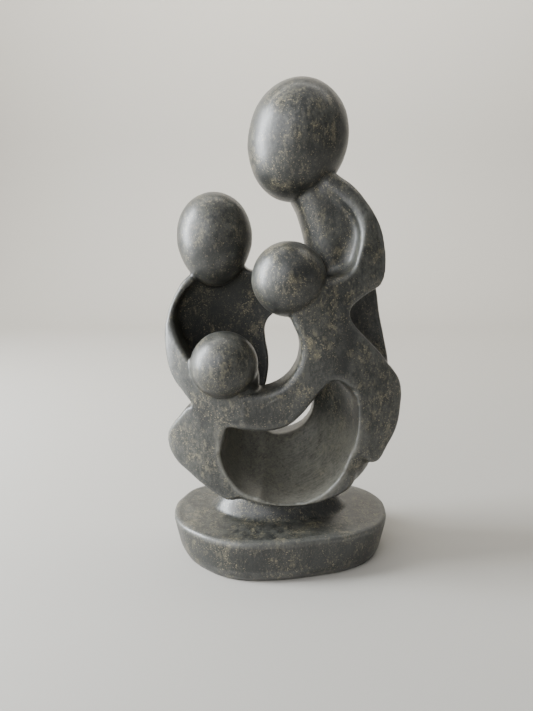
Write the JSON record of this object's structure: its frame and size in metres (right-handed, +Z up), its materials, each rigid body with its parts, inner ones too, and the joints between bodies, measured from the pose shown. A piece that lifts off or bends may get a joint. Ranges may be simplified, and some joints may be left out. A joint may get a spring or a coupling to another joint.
{
  "type": "family group sculpture",
  "caption": "Carved dark stone group of parents and children with egg-shaped heads, linked arms around an open ring above a scooped lap, on its own oval base.",
  "frame": {"origin": "middle of the flat underside of the base, on the surface that it stands on", "axes": "+Z up, the group's longest way; -Y is the front, which the children and the scooped lap face; +X is the tall parent's side"},
  "size_m": [0.1266, 0.0799, 0.2548],
  "materials": {
    "stone": "polished and waxed dark green-grey stone with fine olive and tan flecks"
  },
  "bodies": {
    "root": {"family_group": "stone"}
  },
  "joints": []
}
